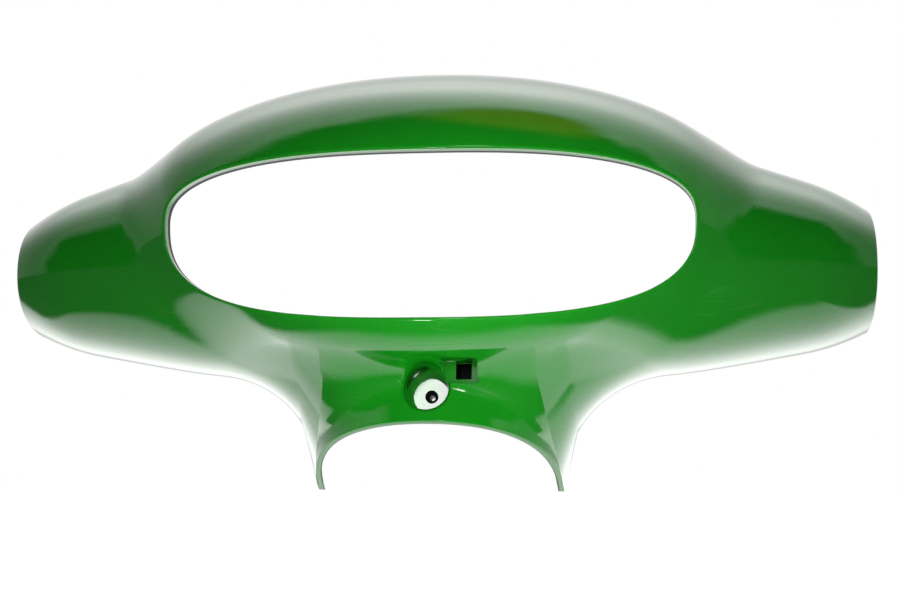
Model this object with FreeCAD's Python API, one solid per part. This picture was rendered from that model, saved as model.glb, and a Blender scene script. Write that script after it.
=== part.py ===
import FreeCAD
import Part
import math
import os

# Headlight cover of a small motorcycle: one moulded shell, open to the rear.
# Millimetres. X runs along the handlebar, Y to the rear, Z up.
# The origin is where the lamp axis meets the rear parting plane, on the plane of symmetry.

# Wall
WALL = 2.8
DRAW_RUN = 6.0              # straight run of the form past the parting plane, trimmed off

# Lamp pod: an oval bulge standing in front of the handlebar
POD_HALF_WIDTH = 138.5
POD_TOP = 83.0
POD_WAIST = 23.0            # height of its widest line
POD_BOTTOM = -56.0
POD_DEPTH = 83.0
POD_DROOP = 8.0             # how far its nose sinks below its root
POD_OUTLINE = 2.05          # exponent of the oval seen from the front
POD_FULLNESS = 3.2          # exponent of its front-to-rear section

# Lamp opening in the front of the pod
OPENING_HALF_WIDTH = 115.0
OPENING_TOP = 35.0
OPENING_WAIST = 7.7
OPENING_BOTTOM = -35.0
OPENING_UPPER_OUTLINE = 2.7
OPENING_LOWER_OUTLINE = 2.65
RIM_RETURN = 8.0            # depth of the return flange round the opening

# Handlebar sleeves: half tubes running out of the pod
HALF_SPAN = 192.5
SLEEVE_ROOT = 105.0
SLEEVE_ROOT_TOP = 57.0
SLEEVE_ROOT_BOTTOM = -56.0
SLEEVE_ROOT_DEPTH = 58.0
SLEEVE_END_TOP = 25.0
SLEEVE_END_BOTTOM = -39.5
SLEEVE_END_DEPTH = 46.0
SLEEVE_SOFTNESS = 24.0      # length over which the root line bends
SLEEVE_FULLNESS = 2.2
SHOULDER_RADIUS = 11.0

# Neck: half tube round the steering column, leaning with it
NECK_HALF_WIDTH = 57.0
NECK_DEPTH = 54.0           # at the middle of the arched lower edge
NECK_ARCH = -77.2           # height of the arch
NECK_TIP = -107.5           # height of the leg tips
NECK_LEAN = 22.0            # degrees from upright
NECK_FULLNESS = 2.2
FLARE_RADIUS = 48.0         # between sleeve and neck at the parting plane
CREASE_RADIUS = 11.0        # between pod and neck at the front

# Screw well in the crease, with its seat deep inside
WELL_OFFSET = -3.0
WELL_TILT = 6.0             # degrees, mouth upwards
WELL_RADIUS = 8.2
WELL_REACH = 52.0           # from the seat to clear of the skin
WELL_FLOOR = 3.0
SEAT_HEIGHT = -64.3
SEAT_DEPTH = 12.7           # in front of the parting plane
SCREW_RADIUS = 3.0

# Clip pocket beside the well, with a blind square socket in its floor
POCKET_GAP = 0.8            # web between well and pocket
POCKET_HEIGHT = -55.6
POCKET_WIDTH = 16.0
POCKET_TALL = 9.6
POCKET_FLOOR_DEPTH = 33.0   # front of its floor, from the parting plane
POCKET_WALL = 2.2
SOCKET_SIZE = 7.0
SOCKET_RISE = 1.2           # its middle above the middle of the pocket
SOCKET_DEPTH = 16.0

# Screw posts inside: one pair for the lamp unit, one for the rear cover
POST_RADIUS = 4.5
PILOT_RADIUS = 1.6
PILOT_DEPTH = 14.0
LAMP_POST_GAP = 17.0        # from the edge of the opening to the post's axis
LAMP_POST_DEPTH = 36.0      # its end, in front of the parting plane
REAR_POST_INSET = 27.5      # from the sleeve end to the post's axis
REAR_POST_RISE = 15.0       # above the sleeve's lower line
REAR_POST_DEPTH = 4.0

# Fineness of the form
STATIONS = 84               # round the opening
CROWDING = 0.7              # how much closer they stand at the neck
RINGS = 25                  # from the opening to the parting plane
PIVOT_SHARE = 0.82          # size of the oval that the form is measured from
RIM_POINTS = 32             # round the edge of the opening
CAP_LENGTH = 26.0           # rounded ends of sleeves and neck, trimmed off
CAP_MARGIN = 8.0
STEP = 0.01


# One point of the oval opening, grown outwards by a margin
def opening_point(turn, grow):
    c = math.cos(turn)
    s = math.sin(turn)
    if s > 0:
        n = OPENING_UPPER_OUTLINE
        reach = OPENING_TOP - OPENING_WAIST + grow
    else:
        n = OPENING_LOWER_OUTLINE
        reach = OPENING_WAIST - OPENING_BOTTOM + grow
    x = math.copysign((OPENING_HALF_WIDTH + grow) * abs(c) ** (2 / n), c)
    z = OPENING_WAIST + math.copysign(reach * abs(s) ** (2 / n), s)
    return x, z


# Upper line, lower line and depth of a sleeve at one place along the handlebar
def sleeve_lines(x):
    out = abs(x) - SLEEVE_ROOT
    run = (out + math.hypot(out, SLEEVE_SOFTNESS)) / 2 / (HALF_SPAN - SLEEVE_ROOT)
    top = SLEEVE_ROOT_TOP + (SLEEVE_END_TOP - SLEEVE_ROOT_TOP) * run
    bottom = SLEEVE_ROOT_BOTTOM + (SLEEVE_END_BOTTOM - SLEEVE_ROOT_BOTTOM) * run
    depth = SLEEVE_ROOT_DEPTH + (SLEEVE_END_DEPTH - SLEEVE_ROOT_DEPTH) * run
    return top, bottom, depth


# Each form is a function that is negative inside and zero on its surface
def pod(x, y, z):
    rise = z - POD_WAIST + POD_DROOP * (min(y, 0) / POD_DEPTH) ** 2
    up = rise / (POD_TOP - POD_WAIST) if rise > 0 else rise / (POD_BOTTOM - POD_WAIST)
    face = (abs(x / POD_HALF_WIDTH) ** POD_OUTLINE + abs(up) ** POD_OUTLINE) ** (1 / POD_OUTLINE)
    front = max(-y, 0) / POD_DEPTH
    return (face ** POD_FULLNESS + front ** POD_FULLNESS) ** (1 / POD_FULLNESS) - 1


def sleeve(x, y, z):
    top, bottom, depth = sleeve_lines(x)
    up = abs(2 * z - top - bottom) / (top - bottom)
    front = max(-y, 0) / depth
    cap = max(abs(x) - HALF_SPAN - CAP_MARGIN, 0) / CAP_LENGTH
    n = SLEEVE_FULLNESS
    return (up ** n + front ** n + cap ** n) ** (1 / n) - 1


def neck(x, y, z):
    lean = math.tan(math.radians(NECK_LEAN))
    depth = max(NECK_DEPTH + (NECK_ARCH - z) * lean, NECK_DEPTH / 4)
    below = max(NECK_TIP - CAP_MARGIN - z, 0) / CAP_LENGTH
    above = max(z - OPENING_BOTTOM, 0) / CAP_LENGTH
    front = max(-y, 0) / depth
    n = NECK_FULLNESS
    return (abs(x / NECK_HALF_WIDTH) ** n + front ** n + below ** n + above ** n) ** (1 / n) - 1


def distance(form, x, y, z):
    f = form(x, y, z)
    gx = form(x + STEP, y, z) - f
    gy = form(x, y + STEP, z) - f
    gz = form(x, y, z + STEP) - f
    return f * STEP / max(math.sqrt(gx * gx + gy * gy + gz * gz), STEP ** 3)


def rounded_union(a, b, radius):
    return max(radius, min(a, b)) - math.hypot(max(radius - a, 0), max(radius - b, 0))


def ease(t):
    t = min(max(t, 0), 1)
    return t * t * (3 - 2 * t)


# The whole outside: the blend into the neck widens from the front crease to the side flares
def cover_form(x, y, z):
    body = rounded_union(distance(pod, x, y, z), distance(sleeve, x, y, z), SHOULDER_RADIUS)
    sideways = ease(abs(x) / NECK_HALF_WIDTH) * (1 - ease(-y / POD_DEPTH))
    radius = CREASE_RADIUS + (FLARE_RADIUS - CREASE_RADIUS) * sideways
    return rounded_union(body, distance(neck, x, y, z), radius)


# Where a ray meets the outside: it starts on an oval inside the opening, at the parting plane,
# and points straight forward at no tilt and outwards in the parting plane at a right angle
def form_point(turn, tilt):
    rim_x, rim_z = opening_point(turn, 0)
    px = PIVOT_SHARE * rim_x
    pz = OPENING_WAIST + PIVOT_SHARE * (rim_z - OPENING_WAIST)
    qx = (HALF_SPAN + 2 * CAP_LENGTH) * math.cos(turn)
    qz = (POD_TOP + NECK_TIP) / 2 + ((POD_TOP - NECK_TIP) / 2 + CAP_LENGTH) * math.sin(turn)
    length = math.hypot(qx - px, qz - pz)
    dx = (qx - px) / length * math.sin(tilt)
    dz = (qz - pz) / length * math.sin(tilt)
    dy = -math.cos(tilt)
    near = 0.0
    far = HALF_SPAN + POD_DEPTH
    while far - near > STEP ** 4:
        mid = (near + far) / 2
        if cover_form(px + dx * mid, dy * mid, pz + dz * mid) < 0:
            near = mid
        else:
            far = mid
    return FreeCAD.Vector(px + dx * near, dy * near, pz + dz * near)


def form_normal(p):
    y = min(p.y, -STEP)
    gx = cover_form(p.x + STEP, y, p.z) - cover_form(p.x - STEP, y, p.z)
    gy = cover_form(p.x, y + STEP, p.z) - cover_form(p.x, y - STEP, p.z)
    gz = cover_form(p.x, y, p.z + STEP) - cover_form(p.x, y, p.z - STEP)
    return FreeCAD.Vector(gx, gy, gz).normalize()


# Poles of the closed uniform cubic curve through the points, found by repeated correction
def closed_poles(points):
    count = len(points)
    poles = list(points)
    for _ in range(60):
        drawn = [(poles[i - 1] + poles[i] * 4 + poles[(i + 1) % count]) / 6 for i in range(count)]
        poles = [pole + point - at for pole, point, at in zip(poles, points, drawn)]
    return poles


# Smooth skin through rings of points, closed round the opening
def skin(rings):
    columns = zip(*[closed_poles(ring) for ring in rings])
    parameters = [float(i) for i in range(len(rings))]
    curves = []
    for column in columns:
        curve = Part.BSplineCurve()
        curve.interpolate(Points=list(column), Parameters=parameters)
        curves.append(curve)
    count = len(curves)
    poles = [curve.getPoles() for curve in curves]
    round_mults = [1] * (count + 1)
    round_knots = [float(i) for i in range(count + 1)]
    mults = curves[0].getMultiplicities()
    knots = curves[0].getKnots()
    surface = Part.BSplineSurface()
    surface.buildFromPolesMultsKnots(poles, round_mults, mults, round_knots, knots, True, False, 3, 3)
    return surface.toShape()


def solid_form(rings):
    side = skin(rings)
    edges = [edge for edge in side.Edges if edge.isClosed() and not edge.isSeam(side)]
    edges.sort(key=lambda edge: edge.BoundBox.YMax)
    front = Part.makeFilledFace([edges[0]])
    rear = Part.Face(Part.Wire([edges[1]]))
    shell = Part.makeShell([side, front, rear])
    shell.sewShape()
    return Part.makeSolid(shell)


def opening_prism(grow):
    points = []
    for i in range(RIM_POINTS):
        x, z = opening_point(2 * math.pi * (i + 0.5) / RIM_POINTS, grow)
        points.append(FreeCAD.Vector(x, -2 * POD_DEPTH, z))
    edge = Part.BSplineCurve()
    edge.interpolate(Points=points, PeriodicFlag=True)
    face = Part.Face(Part.Wire([edge.toShape()]))
    return face.extrude(FreeCAD.Vector(0, 4 * POD_DEPTH, 0))


# Box given by its middle in X and Z, its front and rear in Y, and its sizes
def block(x, z, front, rear, width, height):
    corner = FreeCAD.Vector(x - width / 2, front, z - height / 2)
    return Part.makeBox(width, rear - front, height, corner)


# Shell: the outside, hollowed by the same form set in by the wall
turns = []
for i in range(STATIONS):
    w = 2 * math.pi * i / STATIONS - math.pi
    turns.append(w - CROWDING * math.sin(w) - math.pi / 2)
tilts = [math.pi / 2 * j / (RINGS - 1) for j in range(RINGS)]
outer_rings = [[form_point(turn, tilt) for turn in turns] for tilt in tilts]
inner_rings = [[p - form_normal(p) * WALL for p in ring] for ring in outer_rings]
outer_rings.append([FreeCAD.Vector(p.x, DRAW_RUN, p.z) for p in outer_rings[-1]])
inner_rings.append([FreeCAD.Vector(p.x, 2 * DRAW_RUN, p.z) for p in inner_rings[-1]])
outer = solid_form(outer_rings)
cover = outer.cut(solid_form(inner_rings))

# Lamp opening, cut straight back, with a return flange that follows the skin
hole = opening_prism(0)
behind = outer.translated(FreeCAD.Vector(0, RIM_RETURN, 0))
rim = opening_prism(WALL).cut(hole).common(outer).cut(behind)
cover = cover.cut(hole).fuse(rim)

# Trim to the parting plane, the sleeve ends and the sloping lower edge of the neck
reach = 2 * HALF_SPAN
slope = math.degrees(math.atan2(NECK_ARCH - NECK_TIP, NECK_DEPTH))
under = block(0, NECK_TIP - reach / 2, -reach, reach, reach, reach)
under.rotate(FreeCAD.Vector(0, 0, NECK_TIP), FreeCAD.Vector(1, 0, 0), -slope)
cover = cover.common(block(0, 0, -reach, 0, reach, reach)).cut(under)

# Screw well: a tube with a drilled floor, open at the crease
tilt = math.radians(WELL_TILT)
outward = FreeCAD.Vector(0, -math.cos(tilt), math.sin(tilt))
seat = FreeCAD.Vector(WELL_OFFSET, -SEAT_DEPTH, SEAT_HEIGHT)
floor_back = seat - outward * WELL_FLOOR
tube = Part.makeCylinder(WELL_RADIUS + WALL, WELL_FLOOR + WELL_REACH, floor_back, outward)
bore = Part.makeCylinder(WELL_RADIUS, WELL_REACH, seat, outward)
screw_hole = Part.makeCylinder(SCREW_RADIUS, WELL_REACH, floor_back - outward, outward)

# Clip pocket
pocket_x = WELL_OFFSET + WELL_RADIUS + POCKET_GAP + POCKET_WIDTH / 2
pocket_front = -POCKET_FLOOR_DEPTH - NECK_DEPTH / 2
pocket_floor = -POCKET_FLOOR_DEPTH
socket_end = pocket_floor + SOCKET_DEPTH
socket_z = POCKET_HEIGHT + SOCKET_RISE
rim_both = 2 * POCKET_WALL
recess = block(pocket_x, POCKET_HEIGHT, pocket_front, pocket_floor, POCKET_WIDTH, POCKET_TALL)
socket = block(pocket_x, socket_z, pocket_front, socket_end, SOCKET_SIZE, SOCKET_SIZE)
housing = block(
    pocket_x,
    POCKET_HEIGHT,
    pocket_front,
    pocket_floor + POCKET_WALL,
    POCKET_WIDTH + rim_both,
    POCKET_TALL + rim_both,
)
socket_wall = block(
    pocket_x,
    socket_z,
    pocket_floor,
    socket_end + POCKET_WALL,
    SOCKET_SIZE + rim_both,
    SOCKET_SIZE + rim_both,
)

# Screw posts, running forward into the wall
posts = []
pilots = []
rear_post_x = HALF_SPAN - REAR_POST_INSET
rear_post_z = sleeve_lines(rear_post_x)[1] + REAR_POST_RISE
lamp_post_x = OPENING_HALF_WIDTH + LAMP_POST_GAP
forward = FreeCAD.Vector(0, -1, 0)
for x, z, depth in (
    (lamp_post_x, OPENING_WAIST, LAMP_POST_DEPTH),
    (rear_post_x, rear_post_z, REAR_POST_DEPTH),
):
    for side in (-1, 1):
        end = FreeCAD.Vector(side * x, -depth, z)
        posts.append(Part.makeCylinder(POST_RADIUS, POD_DEPTH, end, forward))
        pilots.append(Part.makeCylinder(PILOT_RADIUS, PILOT_DEPTH, end, forward))

added = [piece.common(outer) for piece in [tube, housing, socket_wall] + posts]
cover = cover.fuse(added).cut([bore, screw_hole, recess, socket] + pilots)
cover = cover.removeSplitter()

os.makedirs("parts", exist_ok=True)
cover.exportStep("parts/headlight_cover.step")
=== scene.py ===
import bmesh
import bpy
import math
import numpy as np
from mathutils import Matrix, Vector


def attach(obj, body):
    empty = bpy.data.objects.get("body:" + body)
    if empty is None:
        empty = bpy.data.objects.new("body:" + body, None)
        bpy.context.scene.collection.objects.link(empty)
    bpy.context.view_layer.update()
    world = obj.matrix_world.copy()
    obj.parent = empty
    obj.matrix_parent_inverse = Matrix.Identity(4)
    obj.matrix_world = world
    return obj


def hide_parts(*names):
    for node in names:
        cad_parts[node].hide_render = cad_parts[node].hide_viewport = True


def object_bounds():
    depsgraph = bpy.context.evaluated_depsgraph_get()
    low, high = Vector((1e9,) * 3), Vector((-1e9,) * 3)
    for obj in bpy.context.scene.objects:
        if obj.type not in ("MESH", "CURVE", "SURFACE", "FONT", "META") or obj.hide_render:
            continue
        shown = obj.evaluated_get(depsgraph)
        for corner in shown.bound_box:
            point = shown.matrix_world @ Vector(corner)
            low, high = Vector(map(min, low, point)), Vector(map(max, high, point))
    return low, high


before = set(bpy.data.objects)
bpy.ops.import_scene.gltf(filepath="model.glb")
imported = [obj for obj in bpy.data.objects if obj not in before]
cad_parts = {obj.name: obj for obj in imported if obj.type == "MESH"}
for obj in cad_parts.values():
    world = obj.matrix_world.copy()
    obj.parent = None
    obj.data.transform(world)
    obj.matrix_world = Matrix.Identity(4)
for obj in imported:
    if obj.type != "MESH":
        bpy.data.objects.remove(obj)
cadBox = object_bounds()
mm = 0.001
toRight, toFront, toTop = np.array([1.0, 0, 0]), np.array([0, -1.0, 0]), np.array([0, 0, 1.0])
print("frame loaded")


# Colours and nodes
def linear(hexCode):
    channels = [int(hexCode[i:i + 2], 16) / 255 for i in (1, 3, 5)]
    return tuple(c / 12.92 if c <= 0.04045 else ((c + 0.055) / 1.055) ** 2.4 for c in channels) + (1.0,)


def addNode(tree, kind, inputs=None, **settings):  # an input is a socket to link or a plain value
    node = tree.nodes.new(kind)
    for name, value in settings.items():
        setattr(node, name, value)
    for key, value in (inputs or {}).items():
        if isinstance(value, bpy.types.NodeSocket):
            tree.links.new(value, node.inputs[key])
        else:
            node.inputs[key].default_value = value
    return node


def remap(tree, value, low=0.0, high=1.0, first=0.0, last=1.0, shape="LINEAR"):
    inputs = dict(enumerate((value, low, high, first, last)))
    return addNode(tree, "ShaderNodeMapRange", inputs, interpolation_type=shape).outputs[0]


def calculate(tree, operation, *values):
    return addNode(tree, "ShaderNodeMath", dict(enumerate(values)), operation=operation).outputs[0]


def blend(tree, share, first, second):  # each colour is a socket or a hex code
    first, second = (linear(c) if isinstance(c, str) else c for c in (first, second))
    return addNode(tree, "ShaderNodeMix", {0: share, 6: first, 7: second}, data_type="RGBA").outputs[2]


def noise(tree, place, scale, detail):
    inputs = {"Vector": place, "Scale": scale, "Detail": detail}
    return addNode(tree, "ShaderNodeTexNoise", inputs).outputs["Fac"]


# The shell's form, in millimetres
shell = dict(
    wall=2.8,
    podHalfWidth=138.5, podTop=83.0, podWaist=23.0, podBottom=-56.0,
    podDepth=83.0, podDroop=8.0, podOutline=2.05, podFullness=3.2,
    openHalfWidth=115.0, openTop=35.0, openWaist=7.7, openBottom=-35.0,
    openUpper=2.7, openLower=2.65, rimReturn=8.0, rimRound=1.6,
    halfSpan=192.5, sleeveRoot=105.0, rootTop=57.0, rootBottom=-56.0, rootDepth=58.0,
    endTop=25.0, endBottom=-39.5, endDepth=46.0, sleeveSoftness=24.0, sleeveFullness=2.2,
    shoulderRadius=11.0, barrelStart=166.0, barrelDepth=6.0, barrelTop=4.0,
    neckHalfWidth=57.0, neckDepth=54.0, neckThinnest=13.5, neckArch=-77.2, neckTip=-107.5, neckLean=22.0,
    neckFullness=2.2, capLength=26.0, capMargin=8.0,
    flareRadius=48.0, creaseRadius=11.0, flareStart=54.0, flareFront=104.0,
    edgeRound=0.5, edgeSteps=4, rimSteps=6,
    topStations=110, endStations=44, flareStations=90, archStations=56,
    outerRings=84, innerRings=22, roughRings=60, halvings=34,
    flarePivot=(0.65 / 1.65, 0.2), skinPivot=0.8,  # shares of the outline where rays start
    turnWide=240.0, turnTall=110.0,  # pairs edge stations with opening stations
)


def podValue(x, y, z):
    front = np.maximum(-y, 0) / shell["podDepth"]
    rise = z - shell["podWaist"] + shell["podDroop"] * front ** 2
    up = rise / (np.where(rise > 0, shell["podTop"], shell["podBottom"]) - shell["podWaist"])
    o, n = shell["podOutline"], shell["podFullness"]
    face = (np.abs(x / shell["podHalfWidth"]) ** o + np.abs(up) ** o) ** (1 / o)
    return (face ** n + front ** n) ** (1 / n) - 1


def sleeveLines(x):  # top, bottom and depth along a sleeve
    out = np.abs(x) - shell["sleeveRoot"]
    length = shell["halfSpan"] - shell["sleeveRoot"]
    run = (out + np.hypot(out, shell["sleeveSoftness"])) / 2 / length
    top = shell["rootTop"] + (shell["endTop"] - shell["rootTop"]) * run
    bottom = shell["rootBottom"] + (shell["endBottom"] - shell["rootBottom"]) * run
    depth = shell["rootDepth"] + (shell["endDepth"] - shell["rootDepth"]) * run
    past = np.maximum(np.abs(x) - shell["barrelStart"], 0)
    barrel = (past / (shell["halfSpan"] - shell["barrelStart"])) ** 2
    narrowing = shell["barrelTop"] * barrel
    return top - narrowing, bottom + narrowing, depth - shell["barrelDepth"] * barrel


def sleeveValue(x, y, z):
    top, bottom, depth = sleeveLines(x)
    n = shell["sleeveFullness"]
    up = np.abs(2 * z - top - bottom) / (top - bottom)
    cap = np.maximum(np.abs(x) - shell["halfSpan"] - shell["capMargin"], 0) / shell["capLength"]
    return (up ** n + (np.maximum(-y, 0) / depth) ** n + cap ** n) ** (1 / n) - 1


def neckValue(x, y, z):
    lean = math.tan(math.radians(shell["neckLean"]))
    depth = np.maximum(shell["neckDepth"] + (shell["neckArch"] - z) * lean, shell["neckThinnest"])
    above = np.maximum(z - shell["openBottom"], 0) / shell["capLength"]
    below = np.maximum(shell["neckTip"] - shell["capMargin"] - z, 0) / shell["capLength"]
    n = shell["neckFullness"]
    front = np.maximum(-y, 0) / depth
    side = np.abs(x / shell["neckHalfWidth"])
    return (side ** n + front ** n + above ** n + below ** n) ** (1 / n) - 1


def distanceTo(value, x, y, z, step=0.01):
    f = value(x, y, z)
    gx = value(x + step, y, z) - f
    gy = value(x, y + step, z) - f
    gz = value(x, y, z + step) - f
    return f * step / np.maximum(np.sqrt(gx * gx + gy * gy + gz * gz), 1e-6)


def roundedUnion(a, b, radius):
    fillet = np.hypot(np.maximum(radius - a, 0), np.maximum(radius - b, 0))
    return np.maximum(radius, np.minimum(a, b)) - fillet


def ease(t):
    t = np.clip(t, 0, 1)
    return t * t * (3 - 2 * t)


def coverForm(p):  # below zero inside the shell's outside form
    x, y, z = p[..., 0], p[..., 1], p[..., 2]
    pod, sleeve, neck = (distanceTo(value, x, y, z) for value in (podValue, sleeveValue, neckValue))
    body = roundedUnion(pod, sleeve, shell["shoulderRadius"])
    sideways = ease(np.abs(x) / shell["flareStart"]) * (1 - ease(-y / shell["flareFront"]))
    radius = shell["creaseRadius"] + (shell["flareRadius"] - shell["creaseRadius"]) * sideways
    return roundedUnion(body, neck, radius)


def hitForm(start, direction, far=320.0, inset=0.0):  # where rays from inside leave the form
    direction = np.broadcast_to(direction, np.broadcast_shapes(start.shape, direction.shape))
    near = np.zeros(direction.shape[:-1])
    far = np.full(direction.shape[:-1], far)
    for _ in range(shell["halvings"]):
        mid = (near + far) / 2
        inside = coverForm(start + direction * mid[..., None]) < -inset
        near = np.where(inside, mid, near)
        far = np.where(inside, far, mid)
    return start + direction * near[..., None]


def unit(v):
    return v / np.maximum(np.linalg.norm(v, axis=-1, keepdims=True), 1e-9)


def formNormal(p, step=0.02):
    q = p.copy()
    q[..., 1] = np.minimum(q[..., 1], -step)
    return unit(np.stack([coverForm(q + a) - coverForm(q - a) for a in np.eye(3) * step], -1))


def turnBetween(a, b, t):  # directions swept from a to b
    a, b = unit(a), unit(b)
    angle = np.arccos(np.clip((a * b).sum(-1), -1, 1))[..., None]
    return (np.sin((1 - t) * angle) * a + np.sin(t * angle) * b) / np.sin(angle)


def openingShape(above):  # height and roundness of the opening above or below its waist
    waist = shell["openWaist"]
    tall = np.where(above, shell["openTop"] - waist, waist - shell["openBottom"])
    return tall, np.where(above, shell["openUpper"], shell["openLower"])


def openingPoint(turn, grow):
    c, s = np.cos(turn), np.sin(turn)
    tall, n = openingShape(s > 0)
    x = np.sign(c) * (shell["openHalfWidth"] + grow) * np.abs(c) ** (2 / n)
    z = shell["openWaist"] + np.sign(s) * (tall + grow) * np.abs(s) ** (2 / n)
    return x, z


# Outer edge of the right half: brow, sleeve end, flare, leg tip and arch, with the plane of each
def halfEdge():
    span, tip = shell["halfSpan"], shell["neckTip"]
    slope = math.atan2(shell["neckArch"] - tip, shell["neckDepth"])
    along = np.array([0, -math.cos(slope), math.sin(slope)])

    x = span * np.linspace(0, 1, shell["topStations"])
    brow = hitForm(np.stack([x, 0 * x, 0 * x], -1), toTop)

    mid = (shell["endTop"] + shell["endBottom"]) / 2
    a = np.linspace(math.pi / 2, -math.pi / 2, shell["endStations"])
    end = hitForm(np.array([span, 0, mid]), np.stack([0 * a, -np.cos(a), np.sin(a)], -1))

    leg = hitForm(np.array([0, 0, tip]), toRight)
    pivot = np.array([shell["flarePivot"][0] * span, 0, shell["flarePivot"][1] * tip])
    t = np.linspace(0, 1, shell["flareStations"])[:, None]
    flare = hitForm(pivot, turnBetween((end[-1] - pivot)[None], (leg - pivot)[None], t))

    a = np.linspace(0, math.pi / 2, shell["archStations"])[:, None]
    arch = hitForm(np.array([0, 0, tip]), np.cos(a) * toRight + np.sin(a) * along)

    points = np.concatenate([brow, end[1:], flare[1:], arch[1:]])
    under = np.array([0, -math.sin(slope), -math.cos(slope)])
    counts = [len(brow), len(end) - 1, len(flare) - 1, len(arch) - 1]
    facings = (-toFront, toRight, -toFront, under)
    planes = np.concatenate([np.tile(v, (n, 1)) for v, n in zip(facings, counts)])
    return points, planes


# Rings of points from the opening's edge out to the shell's edge, evenly spaced along the skin
def skinRings(edge, grow, rings):
    middle, waist = (shell["podTop"] + shell["neckTip"]) / 2, shell["openWaist"]
    turn = np.arctan2((edge[:, 2] - middle) / shell["turnTall"], edge[:, 0] / shell["turnWide"])
    rimX, rimZ = openingPoint(turn, grow)
    share = shell["skinPivot"]
    pivot = np.stack([share * rimX, 0 * rimX, waist + share * (rimZ - waist)], -1)
    rim = hitForm(np.stack([rimX, 0 * rimX, rimZ], -1), toFront)
    a, b = (rim - pivot)[None], (edge - pivot)[None]
    t = np.linspace(0, 1, shell["roughRings"])
    rough = hitForm(pivot, turnBetween(a, b, t[:, None, None]))
    steps = np.linalg.norm(np.diff(rough, axis=0), axis=-1)
    run = np.concatenate([np.zeros((1, len(edge))), np.cumsum(steps, 0)])
    even = np.linspace(0, 1, rings)
    spaced = np.stack([np.interp(even, r / r[-1], t) for r in run.T], 1)
    made = hitForm(pivot, turnBetween(a, b, spaced[..., None]))
    made[-1] = edge
    return made, turn


def softCorner(a, corner, b, steps):  # a small round from a to b about a sharp corner
    t = np.linspace(0, 1, steps)[:, None, None]
    return (1 - t) ** 2 * a + 2 * t * (1 - t) * corner + t ** 2 * b


def towards(a, b, length):
    return a + unit(b - a) * length


def shellHalf():
    edge, planes = halfEdge()
    outer, turn = skinRings(edge, shell["rimRound"], shell["outerRings"])
    base, _ = skinRings(edge, shell["wall"], shell["innerRings"])
    normal = formNormal(base)
    last = normal[-1]
    normal[-1] = unit(last - (last * planes).sum(-1, keepdims=True) * planes)  # edge stays in its plane
    inner = base - normal * shell["wall"]
    r, steps = shell["edgeRound"], shell["edgeSteps"]
    skin, inside = outer[-1], inner[-1]
    lip = softCorner(towards(skin, outer[-2], r), skin, towards(skin, inside, r), steps)
    back = softCorner(towards(inside, skin, r), inside, towards(inside, inner[-2], r), steps)

    ring = lambda x, y, z: np.stack([x, y, z], -1)
    x, z = openingPoint(turn, 0)
    wide, tall = openingPoint(turn, shell["wall"])
    front = hitForm(ring(x, 0 * x, z), toFront)
    begin, deep = front[:, 1] + shell["rimRound"], front[:, 1] + shell["rimReturn"]
    rounded = softCorner(ring(x, begin, z), front, outer[0], shell["rimSteps"])
    behind = inner[0][:, 1]
    returnOut = [ring(wide, behind + (deep - behind) * t, tall) for t in (0.5, 1.0)]
    returnIn = [ring(x, begin + (deep - begin) * t, z) for t in (1.0, 0.5)]
    rings = [*outer[:-1], *lip, *back, *inner[::-1][1:], *returnOut, *returnIn, *rounded[:-1]]
    rings = np.array(rings)
    rings[..., 0] = np.minimum(rings[..., 0], shell["halfSpan"])
    rings[..., 1] = np.minimum(rings[..., 1], 0)
    return rings


def meshFromRings(name, rings, closedRound=False):
    rings = np.array(rings)
    count, stations = rings.shape[:2]
    index = np.arange(count * stations).reshape(count, stations)
    last = count if closedRound else count - 1
    below, above = index[:last], np.roll(index, -1, 0)[:last]
    quads = np.stack([below, np.roll(below, -1, 1), np.roll(above, -1, 1), above], -1)
    faces = quads.reshape(-1, 4).tolist()
    if not closedRound:
        faces += [index[0][::-1].tolist(), index[-1].tolist()]
    mesh = bpy.data.meshes.new(name)
    mesh.from_pydata((rings.reshape(-1, 3) * mm).tolist(), [], faces)
    body = bmesh.new()
    body.from_mesh(mesh)
    if body.calc_volume(signed=True) < 0:
        bmesh.ops.reverse_faces(body, faces=body.faces)
    body.to_mesh(mesh)
    body.free()
    return addObject(name, mesh)


def addObject(name, data):
    item = bpy.data.objects.new(name, data)
    bpy.context.scene.collection.objects.link(item)
    return item


def buildShell():
    half = shellHalf()
    mirrored = half[:, 1:-1][:, ::-1] * np.array([-1.0, 1.0, 1.0])
    half[:, [0, -1], 0] = 0
    rings = np.concatenate([half, mirrored], 1)
    return meshFromRings("headlightCover", rings, closedRound=True)


piece = buildShell()
print("shell", len(piece.data.polygons), "faces")


# Screw well, clip pocket and screw posts, grown from the same form
fixings = dict(
    wellX=-3.0, wellTilt=6.0, wellRadius=8.2, wellFloor=3.0, seatHeight=-64.3, seatDepth=12.7,
    floorLean=(0.067, 0.084), wellDraft=1.4, wellSkew=(2.2, 2.0), wellMouth=2.2,  # skew: right, down
    screwRadius=3.0, collarRadius=5.0, collarLength=8.0, collarLap=1.0, collarInset=14.0,
    coreRadius=1.3, holeInset=10.0,
    pocketGap=0.8, pocketHeight=-55.6, pocketWidth=16.0, pocketTall=9.6, pocketDepth=33.0,
    pocketWall=2.2, boxCorner=1.5, cornerRound=0.8, mouthRound=0.6,
    socketSize=7.0, socketRise=1.2, socketDepth=16.0, socketCorner=0.4, socketInset=5.0,
    mouthTurns=(0, 20, 40, 58), mouthOver=6.0, rayLength=75.0,
    holeSteps=40, coreSteps=32, postSteps=48, drillSteps=32,
    postRadius=4.5, pilotRadius=1.6, pilotDepth=14.0,
    lampPostGap=17.0, lampPostDepth=36.0, rearPostInset=27.5, rearPostRise=15.0, rearPostDepth=4.0,
)


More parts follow.
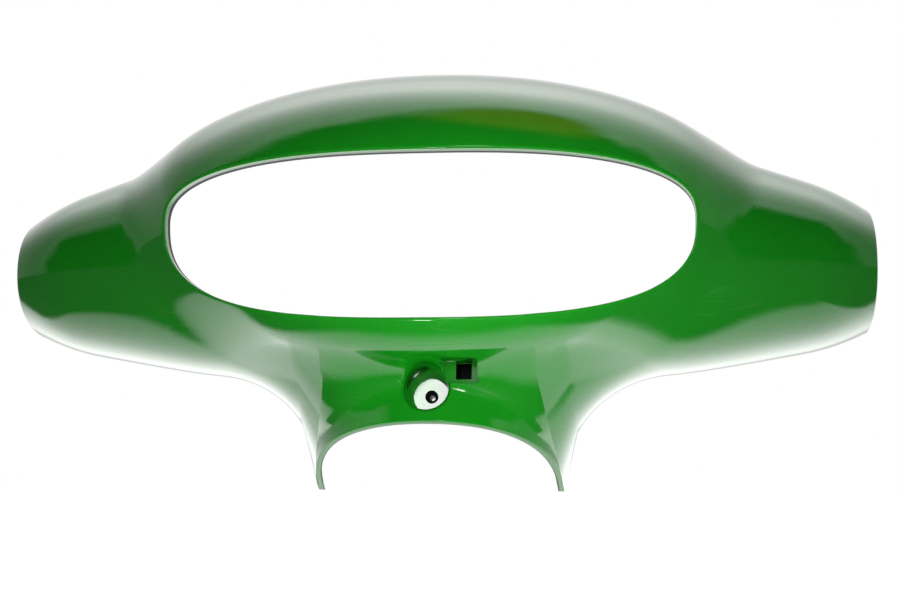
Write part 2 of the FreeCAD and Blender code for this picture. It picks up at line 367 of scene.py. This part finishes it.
def roundOutline(radius, steps=64):
    a = np.linspace(0, 2 * math.pi, steps, endpoint=False)
    return lambda grow: np.stack([np.cos(a), np.sin(a)], -1) * (radius + grow)


def boxOutline(width, tall, corner, steps=6):
    quarter = np.linspace(0, math.pi / 2, steps)
    a = np.concatenate([quarter + k * math.pi / 2 for k in range(4)])
    sideX, sideZ = np.repeat([1, -1, -1, 1], steps), np.repeat([1, 1, -1, -1], steps)
    middle = np.stack([sideX * (width / 2 - corner), sideZ * (tall / 2 - corner)], -1)
    return lambda grow: middle + np.stack([np.cos(a), np.sin(a)], -1) * (corner + grow)


def across(flat, axis):  # flat places laid across an axis: right, then down
    return flat[..., :1] * toRight + flat[..., 1:] * np.cross(toRight, axis)


def bossRings(seat, axis, outline, back, inset, skew=(0.0, 0.0)):  # from behind the seat into the wall
    start = seat + across(outline(0), axis)
    ahead = start + across(np.array(skew), axis)
    return [start - axis * back, hitForm(ahead, axis, fixings["rayLength"], inset)]


# A cutter with a rounded mouth at the skin and a floor that may lean
def boreRings(seat, axis, outline, mouth, lean=(0.0, 0.0), draft=0.0, skew=(0.0, 0.0)):
    rings = []
    for a in np.radians(fixings["mouthTurns"]):
        start = seat + across(outline(draft + mouth * (1 - math.cos(a))) + np.array(skew), axis)
        rings.append(hitForm(start, axis, fixings["rayLength"], mouth * (1 - math.sin(a))))
    flat, wide = outline(0), outline(mouth * 2)
    bottom = seat + across(flat, axis) - (flat @ np.array(lean))[:, None] * axis
    outside = rings[-1] + axis * fixings["mouthOver"] + across(wide - flat, axis)
    return [bottom] + rings + [outside]


def wellLine():  # middle of the well's floor and the way to its mouth
    tilt = math.radians(fixings["wellTilt"])
    seat = np.array([fixings["wellX"], -fixings["seatDepth"], fixings["seatHeight"]])
    return seat, np.array([0, -math.cos(tilt), math.sin(tilt)])


def pocketPlace():  # middle of the pocket's floor
    f = fixings
    x = f["wellX"] + f["wellRadius"] + f["pocketGap"] + f["pocketWidth"] / 2
    return np.array([x, -f["pocketDepth"], f["pocketHeight"]])


def buildFixings():
    f, wall, rim = fixings, shell["wall"], 2 * fixings["pocketWall"]
    seat, axis = wellLine()
    pocket = pocketPlace()
    socket = pocket + np.array([0, f["socketDepth"], f["socketRise"]])
    wide, tall, size = f["pocketWidth"], f["pocketTall"], f["socketSize"]
    well, tube = roundOutline(f["wellRadius"]), roundOutline(f["wellRadius"] + wall)
    screw, collar = (roundOutline(f[k], f["holeSteps"]) for k in ("screwRadius", "collarRadius"))
    core = roundOutline(f["coreRadius"], f["coreSteps"])
    pocketRim = boxOutline(wide + rim, tall + rim, f["boxCorner"])
    socketRim = boxOutline(size + rim, size + rim, f["boxCorner"])
    pocketEdge = boxOutline(wide, tall, f["cornerRound"])
    socketEdge = boxOutline(size, size, f["socketCorner"])
    floor, lap = f["wellFloor"], f["collarLap"]
    collarSeat = seat - axis * (floor - lap)
    slant = (f["floorLean"], f["wellDraft"], f["wellSkew"])
    added = dict(
        wellTube=bossRings(seat, axis, tube, floor, wall / 2, f["wellSkew"]),
        screwCollar=bossRings(collarSeat, axis, collar, lap + f["collarLength"], f["collarInset"]),
        pocketBox=bossRings(pocket, toFront, pocketRim, f["pocketWall"], wall / 2),
        socketBox=bossRings(socket, toFront, socketRim, f["pocketWall"], wall),
    )
    cut = dict(
        wellBore=boreRings(seat, axis, well, f["wellMouth"], *slant),
        screwHole=bossRings(seat, axis, screw, floor, f["holeInset"]),
        coreHole=bossRings(seat, axis, core, 2 * floor + f["collarLength"], f["holeInset"]),
        pocketCut=boreRings(pocket, toFront, pocketEdge, f["mouthRound"]),
        socketCut=bossRings(socket, toFront, socketEdge, 0, f["socketInset"]),
    )
    return [[meshFromRings(name, rings) for name, rings in group.items()] for group in (added, cut)]


# Posts by a node tree: the right-hand pair is drilled, then repeated on the left
def postTree():
    tree = bpy.data.node_groups.new("screwPosts", "GeometryNodeTree")
    places = ("Lamp Post", "Rear Post")
    sockets = {"Blanks": "Geometry", "Pilot Radius": "Float", "Pilot Depth": "Float"}
    sockets.update({place: "Vector" for place in places}, Paint="Material")
    for name, kind in sockets.items():
        tree.interface.new_socket(name, in_out="INPUT", socket_type="NodeSocket" + kind)
    tree.interface.new_socket("Posts", in_out="OUTPUT", socket_type="NodeSocketGeometry")
    given = addNode(tree, "NodeGroupInput").outputs
    twice = calculate(tree, "MULTIPLY", given["Pilot Depth"], 2.0)
    sizes = {"Radius": given["Pilot Radius"], "Depth": twice, "Vertices": fixings["drillSteps"]}
    drill = addNode(tree, "GeometryNodeMeshCylinder", sizes).outputs["Mesh"]
    drills = addNode(tree, "GeometryNodeJoinGeometry")
    for place in places:
        laying = {"Geometry": drill, "Translation": given[place], "Rotation": (math.pi / 2, 0, 0)}
        laid = addNode(tree, "GeometryNodeTransform", laying)
        tree.links.new(laid.outputs[0], drills.inputs[0])
    solids = {"Mesh 1": given["Blanks"], "Mesh 2": drills.outputs[0]}
    drilled = addNode(tree, "GeometryNodeMeshBoolean", solids, operation="DIFFERENCE").outputs[0]
    opposite = {"Geometry": drilled, "Scale": (-1, 1, 1)}
    mirrored = addNode(tree, "GeometryNodeTransform", opposite).outputs[0]
    flipped = addNode(tree, "GeometryNodeFlipFaces", {"Mesh": mirrored}).outputs[0]
    both = addNode(tree, "GeometryNodeJoinGeometry", {0: drilled})
    tree.links.new(flipped, both.inputs[0])
    real = addNode(tree, "GeometryNodeRealizeInstances", {"Geometry": both.outputs[0]}).outputs[0]
    coated = {"Geometry": real, "Material": given["Paint"]}
    addNode(tree, "NodeGroupOutput", {0: addNode(tree, "GeometryNodeSetMaterial", coated).outputs[0]})
    return tree


def buildPosts(paintMaterial):
    f = fixings
    rearX = shell["halfSpan"] - f["rearPostInset"]
    rearZ = float(sleeveLines(np.float64(rearX))[1]) + f["rearPostRise"]
    lampX = shell["openHalfWidth"] + f["lampPostGap"]
    lampEnd = np.array([lampX, -f["lampPostDepth"], shell["openWaist"]])
    rearEnd = np.array([rearX, -f["rearPostDepth"], rearZ])
    outline = roundOutline(f["postRadius"], f["postSteps"])
    posts = [bossRings(end, toFront, outline, 0, shell["wall"] / 2) for end in (lampEnd, rearEnd)]
    holder = joinMeshes("screwPosts", [meshFromRings("post", rings) for rings in posts])
    modifier = holder.modifiers.new("screwPosts", "NODES")
    modifier.node_group = postTree()
    sizes = {
        "Pilot Radius": f["pilotRadius"] * mm, "Pilot Depth": f["pilotDepth"] * mm,
        "Lamp Post": (lampEnd * mm).tolist(), "Rear Post": (rearEnd * mm).tolist(),
        "Paint": paintMaterial,
    }
    for item in modifier.node_group.interface.items_tree:
        if item.in_out == "INPUT" and item.name in sizes:
            modifier[item.identifier] = sizes[item.name]
    evaluated = holder.evaluated_get(bpy.context.evaluated_depsgraph_get())
    holder.data = bpy.data.meshes.new_from_object(evaluated)
    holder.modifiers.remove(modifier)
    return holder


def joinMeshes(name, items):
    body = bmesh.new()
    for item in items:
        body.from_mesh(item.data)
        bpy.data.objects.remove(item)
    mesh = bpy.data.meshes.new(name)
    body.to_mesh(mesh)
    body.free()
    return addObject(name, mesh)


def combine(target, others, operation):
    group = bpy.data.collections.new(operation)
    for item in others:
        group.objects.link(item)
    step = target.modifiers.new(operation, "BOOLEAN")
    step.operation, step.solver = operation, "MANIFOLD"
    step.operand_type, step.collection = "COLLECTION", group
    evaluated = target.evaluated_get(bpy.context.evaluated_depsgraph_get())
    plain = bpy.data.meshes.new_from_object(evaluated)
    target.modifiers.remove(step)
    target.data = plain
    for item in others:
        bpy.data.objects.remove(item)
    bpy.data.collections.remove(group)


# Gloss enamel on moulded ABS: a clear coat with faint orange peel mirrors the studio, the inside is satin
paint = dict(
    # the dark bare colour is the inside's moulding, and also painted shade deep in the holes, the socket
    # and the back of the opening's return
    light="#159a19", deep="#0f8213", bareAndShade="#0b100b", overspray="#10701a",
    dust="#a9bca9", scratch="#4e9c50",
    patchSize=70.0, peelSize=2.2, peelHeight=0.008, waveSize=34.0, waveHeight=0.16,  # millimetres
    speckGap=13.0, speckRadius=0.45, speckShare=0.3, speckStrength=0.35,  # coarse enough to show
    scratchLength=60.0, scratchGap=7.0, scratchWidth=0.35, scratchTurn=(0.3, 0.5, 0.2),
    scratchPlaces=(0.6, 0.7), scratchStrength=0.3,
    roughness=(0.08, 0.17), bareRoughness=0.6, coatRoughness=0.02, bareCoat=0.05, sharpAngle=50.0,
)


def greenPaint():
    material = bpy.data.materials.new("glossEnamelOnAbs")
    material.use_nodes = True
    tree = material.node_tree
    shader = tree.nodes["Principled BSDF"]
    place = addNode(tree, "ShaderNodeTexCoord").outputs["Object"]
    per = lambda size: 1 / (paint[size] * mm)

    patch = noise(tree, place, per("patchSize"), detail=3.0)
    colour = blend(tree, patch, paint["deep"], paint["light"])

    stretch = (per("scratchLength"), per("scratchGap"), per("scratchGap"))
    laid = {"Vector": place, "Rotation": paint["scratchTurn"], "Scale": stretch}
    turned = {"Vector": addNode(tree, "ShaderNodeMapping", laid).outputs[0], "Scale": 1.0}
    cells = addNode(tree, "ShaderNodeTexVoronoi", turned, feature="DISTANCE_TO_EDGE")
    thin = paint["scratchWidth"] / paint["scratchGap"]
    lines = remap(tree, cells.outputs["Distance"], 0.0, thin, 1.0, 0.0)
    where = noise(tree, place, 2 * per("scratchLength"), detail=1.0)
    scratches = calculate(tree, "MULTIPLY", lines, remap(tree, where, *paint["scratchPlaces"]))
    hairline = calculate(tree, "MULTIPLY", scratches, paint["scratchStrength"])
    marked = blend(tree, hairline, colour, paint["scratch"])

    spread = {"Vector": place, "Scale": per("speckGap")}
    grains = addNode(tree, "ShaderNodeTexVoronoi", spread).outputs
    radius = paint["speckRadius"] / paint["speckGap"]
    dots = remap(tree, grains["Distance"], 0.5 * radius, radius, 1.0, 0.0)
    chance = addNode(tree, "ShaderNodeSeparateColor", {0: grains["Color"]}).outputs[0]
    kept = calculate(tree, "LESS_THAN", chance, paint["speckShare"])
    specks = calculate(tree, "MULTIPLY", dots, kept)
    faint = calculate(tree, "MULTIPLY", specks, paint["speckStrength"])
    dusty = blend(tree, faint, marked, paint["dust"])

    inside = addNode(tree, "ShaderNodeAttribute", attribute_name="inside").outputs["Fac"]
    # the deep mask gives faces deep in the holes, the socket and the back of the opening's return the dark
    # bare colour as painted shade
    deep = addNode(tree, "ShaderNodeAttribute", attribute_name="bareAndShade").outputs["Fac"]
    sprayed = blend(tree, patch, paint["bareAndShade"], paint["overspray"])
    whole = blend(tree, deep, blend(tree, inside, dusty, sprayed), paint["bareAndShade"])
    plain = calculate(tree, "MAXIMUM", inside, deep)
    rub = remap(tree, where, 0.0, 1.0, *paint["roughness"])
    rough = remap(tree, plain, first=rub, last=paint["bareRoughness"])
    coat = remap(tree, plain, first=1.0, last=paint["bareCoat"])

    waves = noise(tree, place, per("waveSize"), detail=0.0)
    wavy = {"Height": waves, "Distance": paint["waveHeight"] * mm}
    broad = addNode(tree, "ShaderNodeBump", wavy).outputs[0]
    peel = noise(tree, place, per("peelSize"), detail=1.0)
    peeled = {"Height": peel, "Distance": paint["peelHeight"] * mm, "Normal": broad}
    fine = addNode(tree, "ShaderNodeBump", peeled).outputs[0]

    made = {"Base Color": whole, "Roughness": rough, "Coat Weight": coat}
    made.update({"Normal": fine, "Coat Normal": fine})
    for socket, source in made.items():
        tree.links.new(source, shader.inputs[socket])
    shader.inputs["Coat Roughness"].default_value = paint["coatRoughness"]
    return material


# Which faces the spray reached, and which faces deep in the holes and the opening's return get painted
# shade, in millimetres past each wall
reached = dict(
    holeMargin=0.2, floorMargin=1.0, stepMargin=0.3, wellMargin=2.0, pocketMargin=0.9,
    skin=0.5, edgeShare=0.8, rearFacing=0.3, rimReach=1.06, rimDepth=5.0,
)


def faceVectors(mesh, name):
    values = np.empty(3 * len(mesh.polygons))
    mesh.polygons.foreach_get(name, values)
    return values.reshape(-1, 3)


def fromWell(p):  # how far along the well, and how far from its slanting middle line
    seat, axis = wellLine()
    along = (p - seat) @ axis
    length = (hitForm(seat, axis, fixings["rayLength"]) - seat) @ axis
    share = np.clip(along / length, 0, 1)[:, None]
    middle = seat + along[:, None] * axis + share * across(np.array(fixings["wellSkew"]), axis)
    return along, np.linalg.norm(p - middle, axis=-1)


def markInsideAndShade(mesh):  # faces of the inside; faces deep in the holes and at the back of the opening's return get painted shade
    f, m = fixings, reached
    p, facing = faceVectors(mesh, "center") / mm, faceVectors(mesh, "normal")[:, 1]
    along, radial = fromWell(p)
    hole = (radial < f["screwRadius"] + m["holeMargin"]) & (along < -m["floorMargin"])

    off = p - pocketPlace()
    reach = f["socketSize"] / 2 + m["holeMargin"]
    socket = (np.abs(off[:, 0]) < reach) & (np.abs(off[:, 2] - f["socketRise"]) < reach)
    socket &= (off[:, 1] > m["stepMargin"]) & (off[:, 1] < f["socketDepth"] + m["stepMargin"])

    rise = p[:, 2] - shell["openWaist"]
    tall, n = openingShape(rise > 0)
    size = np.abs(p[:, 0] / shell["openHalfWidth"]) ** n + np.abs(rise / tall) ** n
    within = size < m["rimReach"]
    front = hitForm(p[within] * np.array([1.0, 0, 1.0]), toFront)
    depth = np.zeros(len(p))
    depth[within] = p[within, 1] - front[:, 1]
    rim = depth > m["rimDepth"]

    under = coverForm(p)
    edge = (under > -m["edgeShare"] * shell["wall"]) & (facing < m["rearFacing"])
    painted = (under > -m["skin"]) | edge | (within & ~rim)
    painted |= (radial < f["wellRadius"] + m["wellMargin"]) & (along > -m["floorMargin"])
    half = np.array([f["pocketWidth"], f["pocketTall"]]) / 2 + m["pocketMargin"]
    painted |= (np.abs(off[:, [0, 2]]) < half).all(-1) & (off[:, 1] < m["stepMargin"])
    # painted shade: the screw hole, the socket and the back of the opening's return take the dark colour
    # where shade falls
    bareAndShade = hole | socket | rim
    for name, faces in (("bareAndShade", bareAndShade), ("inside", ~painted & ~bareAndShade)):
        values = faces.astype(np.float32)
        mesh.attributes.new(name, "FLOAT", "FACE").data.foreach_set("value", values)


shellPaint = greenPaint()
piece.data.materials.append(shellPaint)
added, cutters = buildFixings()
combine(piece, added + [buildPosts(shellPaint)], "UNION")
combine(piece, cutters, "DIFFERENCE")
piece.data.materials.clear()
piece.data.materials.append(shellPaint)
firstSlot = np.zeros(len(piece.data.polygons), dtype=np.int32)
piece.data.polygons.foreach_set("material_index", firstSlot)
piece.data.shade_smooth()
piece.data.set_sharp_from_angle(angle=math.radians(paint["sharpAngle"]))
markInsideAndShade(piece.data)
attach(piece, "root")
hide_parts("headlight_cover")
print("fixings and paint", len(piece.data.polygons), "faces")


# Pale floor: white to the camera, and a sheet with a curved front edge to the paint that mirrors it
sheet = dict(
    halfSize=6.0, matte="#f2f2f2", cameraShare=0.55, mirrorShare=0.8, white=1.58,
    dim=0.02, nearGloss=0.95, backGloss=2.6, farGloss=0.85,
    ramp=(-0.08, 0.04), far=(0.06, 0.4), fade=(-0.078, -0.052),  # metres along Y
    middleEdge=-0.016, turns=((0.05, 0.13, 0.04), (0.12, 0.19, -0.01), (0.2, 0.27, 0.06)),  # from, to, edge
)


def paleFloor():
    low, s = cadBox[0].z, sheet["halfSize"]
    mesh = bpy.data.meshes.new("floor")
    mesh.from_pydata([(-s, -s, low), (s, -s, low), (s, s, low), (-s, s, low)], [], [(0, 1, 2, 3)])
    floor = addObject("floor", mesh)
    material = bpy.data.materials.new("paleFloor")
    material.use_nodes = True
    tree = material.node_tree
    tree.nodes.clear()
    path = addNode(tree, "ShaderNodeLightPath").outputs
    place = addNode(tree, "ShaderNodeNewGeometry").outputs["Position"]
    axes = addNode(tree, "ShaderNodeSeparateXYZ", {0: place}).outputs
    ramp = remap(tree, axes["Y"], *sheet["ramp"], sheet["nearGloss"], sheet["backGloss"])
    far = remap(tree, axes["Y"], *sheet["far"], ramp, sheet["farGloss"], "SMOOTHSTEP")
    apart = calculate(tree, "ABSOLUTE", axes["X"])
    edge = sheet["middleEdge"]
    for start, stop, shift in sheet["turns"]:
        edge = remap(tree, apart, start, stop, edge, shift, "SMOOTHSTEP")
    past = calculate(tree, "SUBTRACT", axes["Y"], edge)
    gloss = remap(tree, past, *sheet["fade"], sheet["dim"], far, "SMOOTHSTEP")
    level = remap(tree, path["Is Glossy Ray"], first=sheet["white"], last=gloss)
    seen = calculate(tree, "MULTIPLY", path["Is Camera Ray"], sheet["cameraShare"])
    part = remap(tree, path["Is Glossy Ray"], first=seen, last=sheet["mirrorShare"])
    matte = addNode(tree, "ShaderNodeBsdfDiffuse", {"Color": linear(sheet["matte"])}).outputs[0]
    glow = addNode(tree, "ShaderNodeEmission", {"Strength": level, "Color": linear("#ffffff")}).outputs[0]
    mix = addNode(tree, "ShaderNodeMixShader", {0: part, 1: matte, 2: glow}).outputs[0]
    addNode(tree, "ShaderNodeOutputMaterial", {"Surface": mix})
    floor.data.materials.append(material)


# White surround with a dim room on the camera's side, whose ragged edge and warm patch the paint mirrors
tent = dict(
    dimMatte=0.12, whiteMatte=0.95, matte=(-0.15, 0.6),  # ranges are parts of the unit direction
    dim=0.02, nearGloss=0.95, backGloss=2.2, ramp=(-0.3, 0.3), farGloss=0.85, far=(0.2, 0.85),
    sides=(0.1, 0.9, 1.1, 0.38), heights=(0.55, 0.85, 0.8, 1.25), window=(-0.36, -0.18),
    ragScale=5.0, ragDetail=2.0, ragged=0.24, narrowing=0.2,
    warm="#daa03f", warmPlace=(0.1, -0.46, 0.882), warmReach=(0.16, 0.28), warmStrength=0.75,
)


def whiteSurround():
    world = bpy.data.worlds.new("whiteSurround")
    bpy.context.scene.world = world
    world.use_nodes = True
    tree = world.node_tree
    tree.nodes.clear()
    path = addNode(tree, "ShaderNodeLightPath").outputs
    place = addNode(tree, "ShaderNodeTexCoord").outputs["Generated"]
    axes = addNode(tree, "ShaderNodeSeparateXYZ", {0: place}).outputs
    apart = calculate(tree, "ABSOLUTE", axes["X"])
    ramp = remap(tree, axes["Y"], *tent["ramp"], tent["nearGloss"], tent["backGloss"])
    high = calculate(tree, "MULTIPLY", ramp, remap(tree, axes["Z"], *tent["heights"], "SMOOTHSTEP"))
    white = calculate(tree, "MULTIPLY", high, remap(tree, apart, *tent["sides"]))
    far = remap(tree, axes["Y"], *tent["far"], white, tent["farGloss"], "SMOOTHSTEP")
    uneven = noise(tree, place, tent["ragScale"], tent["ragDetail"])
    ragged = calculate(tree, "MULTIPLY_ADD", uneven, tent["ragged"], axes["Y"])
    narrower = calculate(tree, "MULTIPLY_ADD", apart, tent["narrowing"], ragged)
    gloss = remap(tree, narrower, *tent["window"], tent["dim"], far, "SMOOTHSTEP")
    matte = remap(tree, axes["Y"], *tent["matte"], tent["dimMatte"], tent["whiteMatte"], "SMOOTHSTEP")
    level = remap(tree, path["Is Glossy Ray"], first=matte, last=gloss)
    light = lambda colour, strength: addNode(
        tree, "ShaderNodeBackground", {"Color": linear(colour), "Strength": strength}).outputs[0]
    cool, warm = light("#ffffff", level), light(tent["warm"], tent["warmStrength"])
    seen = light("#ffffff", 1.0)
    spot = {0: place, 1: tent["warmPlace"]}
    off = addNode(tree, "ShaderNodeVectorMath", spot, operation="DISTANCE").outputs["Value"]
    wood = remap(tree, off, *tent["warmReach"], path["Is Glossy Ray"], 0.0)
    lit = addNode(tree, "ShaderNodeMixShader", {0: wood, 1: cool, 2: warm}).outputs[0]
    mix = addNode(tree, "ShaderNodeMixShader", {0: path["Is Camera Ray"], 1: lit, 2: seen}).outputs[0]
    addNode(tree, "ShaderNodeOutputWorld", {"Surface": mix})


lamps = [
    dict(name="lipSpot", kind="SPOT", place=(0.05, -0.36, -0.04), aim=(0.01, -0.06, -0.06),
         size=0.03, cone=52.0, watts=1.07, mirrored=False),
    dict(name="lowKey", kind="AREA", place=(0.06, -0.24, -0.07), aim=(0.0, -0.06, -0.06),
         size=0.05, watts=0.216, mirrored=False),
    dict(name="smallFlash", kind="AREA", place=(-0.003, -0.61, -0.0015), aim=(-0.003, -0.013, -0.064),
         size=0.05, watts=0.09, mirrored=True),
    dict(name="lipGlint", kind="AREA", place=(-0.013, -0.148, -0.106), aim=(-0.013, -0.148, 0.0),
         size=0.012, watts=0.009, mirrored=True),
]


def softLamps():
    for lamp in lamps:
        data = bpy.data.lights.new(lamp["name"], lamp["kind"])
        data.energy = lamp["watts"]
        if lamp["kind"] == "SPOT":
            data.shadow_soft_size, data.spot_blend = lamp["size"], 1.0
            data.spot_size = math.radians(lamp["cone"])
        else:
            data.size = lamp["size"]
        item = addObject(lamp["name"], data)
        item.location = lamp["place"]
        way = Vector(lamp["aim"]) - item.location
        item.rotation_euler = way.to_track_quat("-Z", "Y").to_euler()
        item.visible_camera = False
        item.visible_glossy = lamp["mirrored"]


# Camera: a little right of the middle and a little below the lamp axis
shot = dict(
    azimuth=7.0, elevation=-7.62, roll=0.43, away=0.6679, aim=(0.00349, 0.0, -0.01789),
    pixelAtAim=0.0004701, imageWidth=900, sensor=36.0, clip=(0.01, 30.0),
)


def setCamera():
    a, e, r = (math.radians(shot[k]) for k in ("azimuth", "elevation", "roll"))
    look = Vector((-math.sin(a) * math.cos(e), math.cos(a) * math.cos(e), -math.sin(e)))
    level = Vector((math.cos(a), math.sin(a), 0))
    up = level.cross(look)
    imageRight = level * math.cos(r) + up * math.sin(r)
    imageUp = up * math.cos(r) - level * math.sin(r)
    data = bpy.data.cameras.new("camera")
    data.sensor_width = shot["sensor"]
    data.lens = data.sensor_width * shot["away"] / (shot["pixelAtAim"] * shot["imageWidth"])
    data.clip_start, data.clip_end = shot["clip"]
    camera = addObject("camera", data)
    turn = Matrix((imageRight, imageUp, -look)).transposed().to_4x4()
    camera.matrix_world = Matrix.Translation(Vector(shot["aim"]) - look * shot["away"]) @ turn
    bpy.context.scene.camera = camera


paleFloor()
whiteSurround()
softLamps()
setCamera()
bpy.context.scene.view_settings.view_transform = "Standard"
print("studio done")
